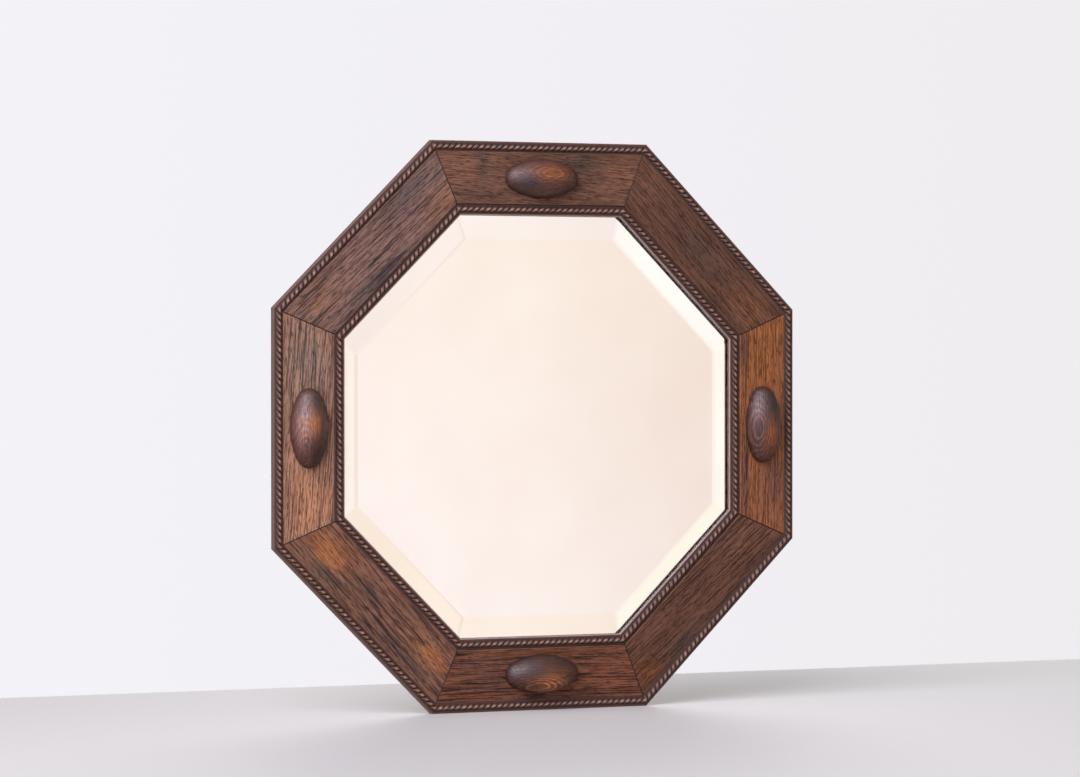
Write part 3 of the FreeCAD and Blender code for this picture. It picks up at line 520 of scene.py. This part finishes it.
# Pieces
def oak_rail(side, material, seed, ground, slope, open_grain, figure, patches, hearts=()):
    """A mitred rail: its section carried along the side, each point's run ending on the mitre.

    A station is (share, inset): along = share * flat * tan(22.5 deg), less the inset at an end.
    The first ring at each end is sunk on the front, which leaves a fine dark line at the mitre.
    Hearts are soft ovals (along, flat, half length, half width) that clear the lines of open grain.
    """
    near, far = FACE_INSETS
    face_run = np.concatenate([
        [FACE_OUTER[0] - near], np.linspace(FACE_OUTER[0] - far, FACE_INNER[0] + far, FACE_POINTS),
        [FACE_INNER[0] + near]])
    face_rise = FACE_OUTER[1] + (FACE_OUTER[0] - face_run) * math.tan(FACE_SLOPE)
    outline = rounded_outline([
        (REBATE_FLAT, BACK_LEVEL, REBATE_ROUND), (BACK_BEVEL[0], BACK_LEVEL, BACK_ROUND),
        (OUTER_FLAT, BACK_BEVEL[1], BACK_ROUND), (OUTER_FLAT, OUTER_LEDGE, EDGE_ROUND),
        (FACE_OUTER[0], OUTER_LEDGE, 0), (*FACE_OUTER, FACE_ROUND),
        *[(flat, level, 0) for flat, level in zip(face_run, face_rise)],
        (*FACE_INNER, FACE_ROUND), (FACE_INNER[0], INNER_LEDGE, 0), (SIGHT_FLAT, INNER_LEDGE, EDGE_ROUND),
        (SIGHT_FLAT, LIP_BACK, EDGE_ROUND), (REBATE_FLAT, LIP_BACK, 0),
    ])
    flat, level = outline.T
    ends = np.ones(len(MITRE_INSETS))
    share = np.concatenate([-ends, RAIL_SHARES, ends])
    inset = np.concatenate([MITRE_INSETS, 0 * RAIL_SHARES, -MITRE_INSETS[::-1]])
    along = share[:, None] * flat * HALF_SIDE + inset[:, None]
    levels = np.broadcast_to(level, along.shape).copy()
    front = level > OUTER_LEDGE + MARGIN
    levels[[0, -1]] -= MITRE_SINK * front
    rings = place(side, along, flat, levels)
    behind = (level <= BACK_BEVEL[1]) | (flat < REBATE_FLAT + MARGIN) & (level <= LIP_BACK)
    stain = patched_stain(ground, patches, along, flat)
    stain[:, flat > FACE_OUTER[0] + MARGIN] = linear(ROPE_STAIN)[:3]
    stain[:, behind] = linear(BACK_STAIN)[:3]
    heart = 0 * along
    for oval in hearts:
        heart += front * soft_oval(along, flat, *oval)
    # Dirt lies in the mitres, against the strips and, more here and less there, behind the arrises
    mitre = ((np.abs(share) == 1) & (np.abs(inset) < MARGIN))[:, None]
    seam = (level > OUTER_LEDGE) & (level < OUTER_TOP)
    outer_crest, inner_crest = FACE_OUTER[0] - CREST_INSET, FACE_INNER[0] + CREST_INSET
    from_crest = np.minimum(np.abs(flat - outer_crest), np.abs(flat - inner_crest))
    short_wave, long_wave = ARRIS_DIRT_WAVES
    swing = ARRIS_DIRT_SWING * np.sin(along / short_wave + seed) * np.sin(along / long_wave + 2 * seed)
    settled = (ARRIS_DIRT + swing) * np.exp(-from_crest / ARRIS_DIRT_REACH) * front
    attributes = {
        "board": board_place(seed, along, flat + 0 * along, levels, slope),
        "stain": stain,
        "open_grain": np.where(behind, BACK_GRAIN, open_grain * (1 - HEART_CLEARS * heart.clip(0, 1))),
        "figure": np.where(behind, BACK_FIGURE, figure) + 0 * along,
        "heart": heart,
        "dirt_and_shade": np.maximum(np.maximum(MITRE_DIRT * mitre, SEAM_DIRT * seam), settled),
        # Wear and a painted highlight lighten the rounded arrises
        "wear_and_highlight": ARRIS_WEAR_AND_HIGHLIGHT * np.exp(-from_crest / ARRIS_WEAR_AND_HIGHLIGHT_REACH) * front * (1 - mitre),
    }
    piece = swept_piece(f"oak_rail_{side}", rings, attributes)
    finish_piece(piece, f"rail_{side}", material)


def rope_strip(kind, side, material, rope, seed):
    """A mitred strip with a carved rope.

    Across the rope, v runs from one foot to the other, and the height is H sqrt(1 - (v/w)^2) times
    the twist, 1 - d (1 - sin(pi f)^p), where f goes from 0 to 1 between grooves of depth d, and the
    power p makes the lobes full. The stations follow the grooves, along = (k + f - 1/2) * step + S(v),
    with S an S-curve at the twist's angle, so that a lobe stands at the middle of the side.
    """
    middle, twists = rope["flat"], rope["twists"]
    step = 2 * middle * HALF_SIDE / twists
    # Two turns more at each end reach past the mitres, where the strip is cut off
    turns = np.arange(-twists // 2 - 2, twists // 2 + 3)
    stations = (turns[:, None] + TWIST_SHARES - 0.5).ravel() * step
    across = ROPE_HALF_WIDTH * np.cos(np.linspace(0, np.pi, ROPE_POINTS))
    share = across / ROPE_HALF_WIDTH
    s_curve = (1 - TWIST_CURVE) * share + TWIST_CURVE * share ** 3
    lean = ROPE_HALF_WIDTH / math.tan(TWIST_ANGLE) * s_curve
    before, after = np.array(rope["before"]), np.array(rope["after"])
    beside = (len(before), len(after))
    flat = np.concatenate([before[:, 0], middle + across, after[:, 0]])
    base = np.concatenate([before[:, 1], np.full(ROPE_POINTS, rope["top"]), after[:, 1]])
    shift = np.pad(lean, beside, mode="edge")
    dome = np.pad(np.sqrt((1 - share ** 2).clip(0)), beside)
    limit = flat * HALF_SIDE
    along = np.clip(stations[:, None] + shift, -limit, limit)
    turn = (along - shift) / step + 0.5
    # A hair is added so that a station on a groove counts with the twist after it
    knot = np.floor(turn + 1e-6)
    lobe = np.sin(np.pi * (turn - knot)).clip(0) ** LOBE_POWER
    crest = dome * (1 - GROOVE_DEPTH * (1 - lobe))
    levels = base + ROPE_HEIGHT * crest
    rings = place(side, along, flat, levels)
    # Dirt and painted shade darken the grooves, the rope's lower flanks and its feet. Wear and a painted
    # highlight lighten the top of each lobe and the rim, and two sines out of step with the twists make
    # some lobes lighter than others
    on_rope = np.abs(flat - middle) <= ROPE_HALF_WIDTH
    foot = np.exp(-np.abs(np.abs(flat - middle) - ROPE_HALF_WIDTH) / FOOT_DIRT_AND_SHADE_REACH)
    rim = np.exp(-np.abs(flat - OUTER_FLAT + CREST_INSET) / RIM_WEAR_AND_HIGHLIGHT_REACH)
    unevenness = np.sin(seed + 2.3 * knot) * np.sin(0.7 * seed + 0.9 * knot)
    wear_and_highlight_share = LOBE_WEAR_AND_HIGHLIGHT_EVEN + (1 - LOBE_WEAR_AND_HIGHLIGHT_EVEN) * unevenness
    highlight_spot_length, highlight_spot_width = LOBE_HIGHLIGHT_SPOT
    highlight_spot = np.exp(-((turn - knot - 0.5) / highlight_spot_length) ** 4 - ((flat - middle) / highlight_spot_width) ** 4)
    attributes = {
        "board": board_place(seed, along, flat + 0 * along, levels),
        # The pale grey band along the lip is a painted highlight
        "stain": patched_stain(ROPE_STAIN, [LIP_PAINTED_HIGHLIGHT], along, flat),
        "open_grain": 0 * along,
        "figure": 0 * along,
        "heart": 0 * along,
        "dirt_and_shade": np.clip(on_rope * GROOVE_DIRT_AND_SHADE * (1 - crest) + FOOT_DIRT_AND_SHADE * foot, 0, ROPE_DIRT_AND_SHADE_LIMIT),
        "wear_and_highlight": np.maximum(LOBE_WEAR_AND_HIGHLIGHT * wear_and_highlight_share * highlight_spot, RIM_WEAR_AND_HIGHLIGHT * rim),
    }
    piece = swept_piece(f"rope_{kind}_{side}", rings, attributes, crease=50)
    finish_piece(piece, f"{kind}_rope_{side}", material)


def turned_boss(side, material, seed, ground, ring_middle, clear, patches):
    """Half of a turned spindle: rho(x) is a belly arc between two end arcs.

    Across it the angle psi runs between the base's edges, +-acos(sink / rho), and a point is
    (x, rho sin psi, rho cos psi - sink - seat), square to the rail's sloping face. The growth rings
    are ovals round a middle at (along, across), and fade away from it.
    """
    radius = (BOSS_HALF_WIDTH ** 2 + BOSS_HEIGHT ** 2) / (2 * BOSS_HEIGHT)
    sink = radius - BOSS_HEIGHT
    end_half = BOSS_HALF_LENGTH + SPINDLE_END_ROUND - math.sqrt(SPINDLE_END_ROUND ** 2 - sink ** 2)
    end_centre = end_half - SPINDLE_END_ROUND
    taper = radius - SPINDLE_END_ROUND
    belly_drop = (end_centre ** 2 - taper ** 2) / (2 * taper)
    join = end_centre * (1 + SPINDLE_END_ROUND / math.hypot(end_centre, belly_drop))
    x = BOSS_HALF_LENGTH * np.sin(np.linspace(-np.pi / 2, np.pi / 2, BOSS_STATIONS))
    belly = np.sqrt((radius + belly_drop) ** 2 - x ** 2) - belly_drop
    ends = np.sqrt((SPINDLE_END_ROUND ** 2 - (np.abs(x) - end_centre) ** 2).clip(sink ** 2))
    rho = np.where(np.abs(x) < join, belly, ends)[:, None]
    psi = np.arccos((sink / rho).clip(-1, 1)) * np.linspace(-1, 1, BOSS_POINTS)
    across = rho * np.sin(psi)
    height = rho * np.cos(psi) - sink - BOSS_SEAT
    along = x[:, None] + 0 * psi
    flat = FACE_MIDDLE[0] + across * math.cos(FACE_SLOPE) + height * math.sin(FACE_SLOPE)
    level = FACE_MIDDLE[1] - across * math.sin(FACE_SLOPE) + height * math.cos(FACE_SLOPE)
    rings = place(side, along, flat, level)
    oval = np.hypot((along - ring_middle[0]) / RING_STRETCH, across - ring_middle[1])
    # Painted shade darkens the stain towards the base, and dirt and painted shade lie against the rail
    painted_shade = BOSS_PAINTED_SHADE * np.exp(-height.clip(0) / BOSS_PAINTED_SHADE_REACH)
    attributes = {
        "board": board_place(seed, along, across, height),
        "stain": patched_stain(ground, patches, along, across) * (1 - painted_shade)[..., None],
        "open_grain": BOSS_GRAIN + 0 * along,
        "figure": 0 * along,
        "heart": 0 * along,
        "dirt_and_shade": BOSS_DIRT_AND_SHADE * np.exp(-height.clip(0) / BOSS_DIRT_AND_SHADE_REACH),
        "wear_and_highlight": 0 * along,
        "ring": ((oval - RING_CORE).clip(0) - RING_PHASE * RING_WIDTH) * MM,
        "clear": clear * np.exp(-(oval / RING_FADE) ** 2),
    }
    piece = swept_piece(f"oak_boss_{side}", rings, attributes)
    finish_piece(piece, f"boss_{side}", material)


def bevelled_glass(material):
    """Octagonal plate: rings of one octagon each, from the back out over the edge and the bevel.

    A corner of a ring lies where the lines of two sides cross: with flats a and b on sides that
    turn by t, it is a * n + (b - a cos t) / sin t * m, n square to the first side and m along it.
    The back lies just inside the silver coat, so that the two read as one surface.
    """
    turn = np.arange(len(SIDES)) * SIDE_TURN
    edge = GLASS_FLAT - GLASS_DROP * np.cos(turn)
    nipped = edge - GLASS_NIP
    arris = np.array([ARRIS_FLATS[side] for side in SIDES])
    lines = [
        (0 * edge, GLASS_BACK), (nipped, GLASS_BACK), (edge, GLASS_BACK + GLASS_NIP),
        (edge, GLASS_EDGE - GLASS_NIP), (nipped, GLASS_EDGE), (arris, GLASS_FRONT), (0 * edge, GLASS_FRONT),
    ]
    flat = np.array([line for line, level in lines])
    level = np.array([level for line, level in lines])[:, None]
    run = (np.roll(flat, -1, 1) - flat * math.cos(SIDE_TURN)) / math.sin(SIDE_TURN)
    x = flat * np.sin(turn) + run * np.cos(turn)
    z = flat * np.cos(turn) - run * np.sin(turn)
    rings = np.stack(np.broadcast_arrays(x, -level, z), axis=-1) * MM
    piece = swept_piece("bevelled_glass", rings, {}, crease=1)
    finish_piece(piece, "mirror_glass", material)


rail_material = stained_oak(
    "stained_oak_planed", roughness=0.5, gloss=0.4, pore_depth=0.9, furrow_depth=0.2)
rope_material = stained_oak(
    "stained_oak_carved", roughness=0.4, gloss=0.5, pore_depth=0.3, furrow_depth=0.2)
boss_material = stained_oak(
    "stained_oak_turned", roughness=0.44, gloss=0.85, pore_depth=0.65, furrow_depth=0.4, turned=True)

# Each rail is cut from its own board: stain, slope of the grain in degrees, how open it is, how strong
# the dark bands are, patches where the stain lies darker or is worn thinner, and hearts of bare late wood
RAIL_BOARDS = {
    "top": {
        "ground": "#8f634c", "slope": -4, "open_grain": 0.3, "figure": 0.2,
        "patches": [
            (-85, 254, 35, 18, "#9c6b52"), (-62, 259, 7, 20, "#6b5445"), (49, 257, 30, 15, "#6e5445"),
            (82, 252, 20, 15, "#97674b"), (-60, 227, 30, 8, "#775444"),
        ],
    },
    "upper_right": {
        "ground": "#825741", "slope": -3, "open_grain": 0.65, "figure": 0.35,
        "patches": [
            (-93, 253, 25, 20, "#8f624b"), (0, 246, 40, 16, "#705343"), (82, 244, 25, 15, "#976240"),
        ],
    },
    "right": {
        "ground": "#c07647", "slope": -0.5, "open_grain": 0.7, "figure": 0.25,
        "patches": [
            (-76, 245, 35, 20, "#c17842"), (57, 257, 30, 12, "#93614e"), (74, 240, 25, 12, "#a86947"),
            (-78, 222, 20, 4, "#694a42"), (49, 223, 40, 4, "#79574d"),
        ],
    },
    "lower_right": {
        "ground": "#855842", "slope": -5, "open_grain": 0.78, "figure": 0.5,
        "patches": [
            (-76, 236, 30, 15, "#8f6149"), (44, 264, 25, 8, "#644a3f"), (90, 256, 16, 12, "#94592f"),
        ],
    },
    "bottom": {
        "ground": "#935b3f", "slope": -0.5, "open_grain": 1.0, "figure": 1.0,
        "patches": [(-71, 244, 35, 15, "#965a3f"), (57, 245, 30, 20, "#835643")],
    },
    "lower_left": {
        "ground": "#a16f56", "slope": -3, "open_grain": 0.8, "figure": 1.0,
        "patches": [
            (72, 241, 22, 15, "#ba764a"), (-76, 240, 30, 9, "#b0744e"), (19, 241, 18, 8, "#675147"),
            (-46, 260, 50, 6, "#73584b"), (62, 260, 25, 8, "#7b6152"),
        ],
        "hearts": [(75, 243, 27, 11), (-80, 240, 20, 8)],
    },
    "left": {
        "ground": "#bf8d70", "slope": -4, "open_grain": 0.85, "figure": 0.45,
        "patches": [(-76, 245, 40, 22, "#d6966e"), (62, 245, 35, 25, "#ab8c78")],
    },
    "upper_left": {
        "ground": "#9d7768", "slope": -3, "open_grain": 0.9, "figure": 0.7,
        "patches": [
            (-80, 253, 30, 20, "#a3775f"), (82, 228, 25, 12, "#a57457"), (-26, 223, 40, 8, "#76625b"),
            (65, 261, 35, 10, "#7f685f"),
        ],
    },
}

# Each piece has its own seed, and with it its own stretch of the plank
for number, side_name in enumerate(SIDES):
    oak_rail(side_name, rail_material, seed=number + 1, **RAIL_BOARDS[side_name])
    rope_strip("outer", side_name, rope_material, OUTER_ROPE, seed=number + 21)
    rope_strip("inner", side_name, rope_material, INNER_ROPE, seed=number + 41)

# Each boss: stain, the middle of its rings and how clear they are, and patches worn thin or left dark; the
# left boss's pale pink patch is a painted highlight
BOSS_TURNINGS = {
    "top": {
        "ground": "#75493c", "ring_middle": (6, 4), "clear": 0.4,
        "patches": [(4, 3, 16, 8, "#ba6f3c"), (-20, -6, 14, 8, "#573e3b")],
    },
    "right": {
        "ground": "#6e4436", "ring_middle": (3, -12), "clear": 0.9,
        "patches": [(12, 3, 16, 8, "#ad6536"), (-22, 4, 14, 10, "#503c39")],
    },
    "bottom": {
        "ground": "#613b2e", "ring_middle": (8, 11), "clear": 0.9,
        "patches": [(-3, 7, 20, 10, "#c07640"), (16, -6, 14, 9, "#573a33")],
    },
    "left": {
        "ground": "#784a3b", "ring_middle": (-24, 8), "clear": 0.45,
        "patches": [
            # The pale pink patch at (1, 9) is a painted highlight
            (1, 9, 16, 7, "#b5836d"), (6, -1, 12, 5, "#cd7f42"), (-24, -4, 16, 9, "#5c372a"),
            (25, -6, 14, 9, "#5d4038"),
        ],
    },
}
for number, side_name in enumerate(BOSS_TURNINGS):
    turned_boss(side_name, boss_material, seed=number + 61, **BOSS_TURNINGS[side_name])
bevelled_glass(polished_plate_glass())

brass = rolled_brass()
beech = sawn_beech()
NODE_MATERIALS = {
    "silvering": silver_coat(), "packing_card": pressed_card(), "backboard": sanded_plywood(),
    "backboard_pins": drawn_steel(), "boss_dowels": beech, "mitre_tongues": beech,
    "hanger_strap_left": brass, "hanger_strap_right": brass, "hanger_ring_left": brass,
    "hanger_ring_right": brass, "hanger_screws": brass,
}
for node_name, node_material in NODE_MATERIALS.items():
    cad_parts[node_name].data.materials.clear()
    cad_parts[node_name].data.materials.append(node_material)

# Camera, from the viewer's left: its place in m and its turns in degrees
CAMERA_PLACE = (-1.612, -3.6632, 0.0756)
CAMERA_TURNS = (89.447, 0.0214, -23.8407)
camera_data = bpy.data.cameras.new("camera")
camera_data.lens = 135
camera_data.sensor_width = 36
camera = bpy.data.objects.new("camera", camera_data)
camera.location = CAMERA_PLACE
camera.rotation_euler = [math.radians(angle) for angle in CAMERA_TURNS]
bpy.context.scene.collection.objects.link(camera)
bpy.context.scene.camera = camera

# Floor, in m, under the bottom rail: it takes the shadow, and glass and wax show the room in its place
FLOOR_HALF_WIDTH = 2.2
FLOOR_NEAR = -1.9
FLOOR_FAR = 0.33
FLOOR_LEVEL = -OUTER_FLAT * MM
floor_mesh = bpy.data.meshes.new("floor")
floor_mesh.from_pydata([
    (-FLOOR_HALF_WIDTH, FLOOR_NEAR, FLOOR_LEVEL), (FLOOR_HALF_WIDTH, FLOOR_NEAR, FLOOR_LEVEL),
    (FLOOR_HALF_WIDTH, FLOOR_FAR, FLOOR_LEVEL), (-FLOOR_HALF_WIDTH, FLOOR_FAR, FLOOR_LEVEL),
], [], [(0, 1, 2, 3)])
floor_mesh.materials.append(matt_paint())
floor = bpy.data.objects.new("floor", floor_mesh)
bpy.context.scene.collection.objects.link(floor)
floor.visible_glossy = False
floor.visible_transmission = False


def pale_room():
    """World in which each kind of ray sees its own room, shaded by the way that the ray heads.

    The camera sees a pale wall behind the mirror. The glass shows a cream room in front of it, warmer
    higher up. Wax and brass show a dim room with a window at the upper left and the pale wall behind.
    All other light is a plain grey.
    """
    world = bpy.data.worlds.new("room")
    world.use_nodes = True
    tree = world.node_tree
    tree.nodes.clear()
    heading = add(tree, "ShaderNodeTexCoord").outputs["Generated"]
    way = add(tree, "ShaderNodeSeparateXYZ", {"Vector": heading}).outputs
    wall_share = add(tree, "ShaderNodeMapRange", {"Value": way["X"], "From Min": 0.25, "From Max": 0.55})
    wall = add(tree, "ShaderNodeValToRGB", {"Fac": wall_share}, stops=[(0.0, "#f4f3f9"), (1.0, "#efecef")])
    cream_share = add(tree, "ShaderNodeMapRange", {"Value": way["X"], "From Min": 0.2, "From Max": 0.6})
    cream = add(tree, "ShaderNodeValToRGB", {"Fac": cream_share}, stops=[
        (0.1, "#fffdf8"), (0.32, "#fffdf6"), (0.4, "#fff5f3"), (0.5, "#fdf3ef"), (0.6, "#f4e6e0"),
        (0.675, "#fbf0e9"), (0.85, "#fdf4ee")])
    warm_share = add(tree, "ShaderNodeMapRange", {"Value": way["Z"], "From Min": -0.07, "From Max": 0.035})
    tint = add(tree, "ShaderNodeMix", {
        "Factor": warm_share, "A": (1.06, 1.06, 1.06, 1.0), "B": (1.06, 1.03, 0.955, 1.0)},
        data_type="RGBA")
    warm = add(tree, "ShaderNodeMix", {"Factor": 1.0, "A": cream.outputs["Color"], "B": tint},
               data_type="RGBA", blend_type="MULTIPLY")
    window_way = (-0.73, -0.53, 0.43)
    window_side = add(tree, "ShaderNodeVectorMath", {"Vector": heading, "Vector_001": window_way},
                      operation="DOT_PRODUCT")
    window_share = add(tree, "ShaderNodeMapRange", {"Value": window_side, "From Min": 0.3, "From Max": 0.9})
    gleam = add(tree, "ShaderNodeMix", {
        "Factor": window_share, "A": linear("#454345"), "B": linear("#dedaff")}, data_type="RGBA")
    behind_share = add(tree, "ShaderNodeMapRange", {"Value": way["Y"], "From Min": 0.0, "From Max": 0.6})
    gleam = add(tree, "ShaderNodeMix", {"Factor": behind_share, "A": gleam, "B": linear("#c4c2c8")},
                data_type="RGBA")
    ray = add(tree, "ShaderNodeLightPath").outputs
    shown = linear("#757478")
    for kind, seen in (("Is Glossy Ray", gleam), ("Is Transmission Ray", warm), ("Is Camera Ray", wall)):
        shown = add(tree, "ShaderNodeMix", {"Factor": ray[kind], "A": shown, "B": seen}, data_type="RGBA")
    sky = add(tree, "ShaderNodeBackground", {"Color": shown, "Strength": 1.0})
    add(tree, "ShaderNodeOutputWorld", {"Surface": sky})
    return world


def soft_box(name, place_m, size, power, colour):
    """A square soft light, placed and sized in m, that looks at the middle of the mirror."""
    light = bpy.data.lights.new(name, "AREA")
    light.size = size
    light.energy = power
    light.color = linear(colour)[:3]
    lamp = bpy.data.objects.new(name, light)
    lamp.location = place_m
    x, y, z = place_m
    lamp.rotation_euler = (math.atan2(math.hypot(x, y), z), 0, math.atan2(-y, -x) - math.pi / 2)
    bpy.context.scene.collection.objects.link(lamp)


bpy.context.scene.world = pale_room()
soft_box("window", place_m=(-2.4, -2.0, 2.2), size=3.0, power=158, colour="#f4f4ff")
soft_box("fill_right", place_m=(2.8, -1.8, 1.0), size=2.4, power=6, colour="#fff1e6")
soft_box("fill_back", place_m=(1.5, 2.6, 1.2), size=2.0, power=40, colour="#ffffff")

bpy.context.scene.view_settings.view_transform = "Standard"
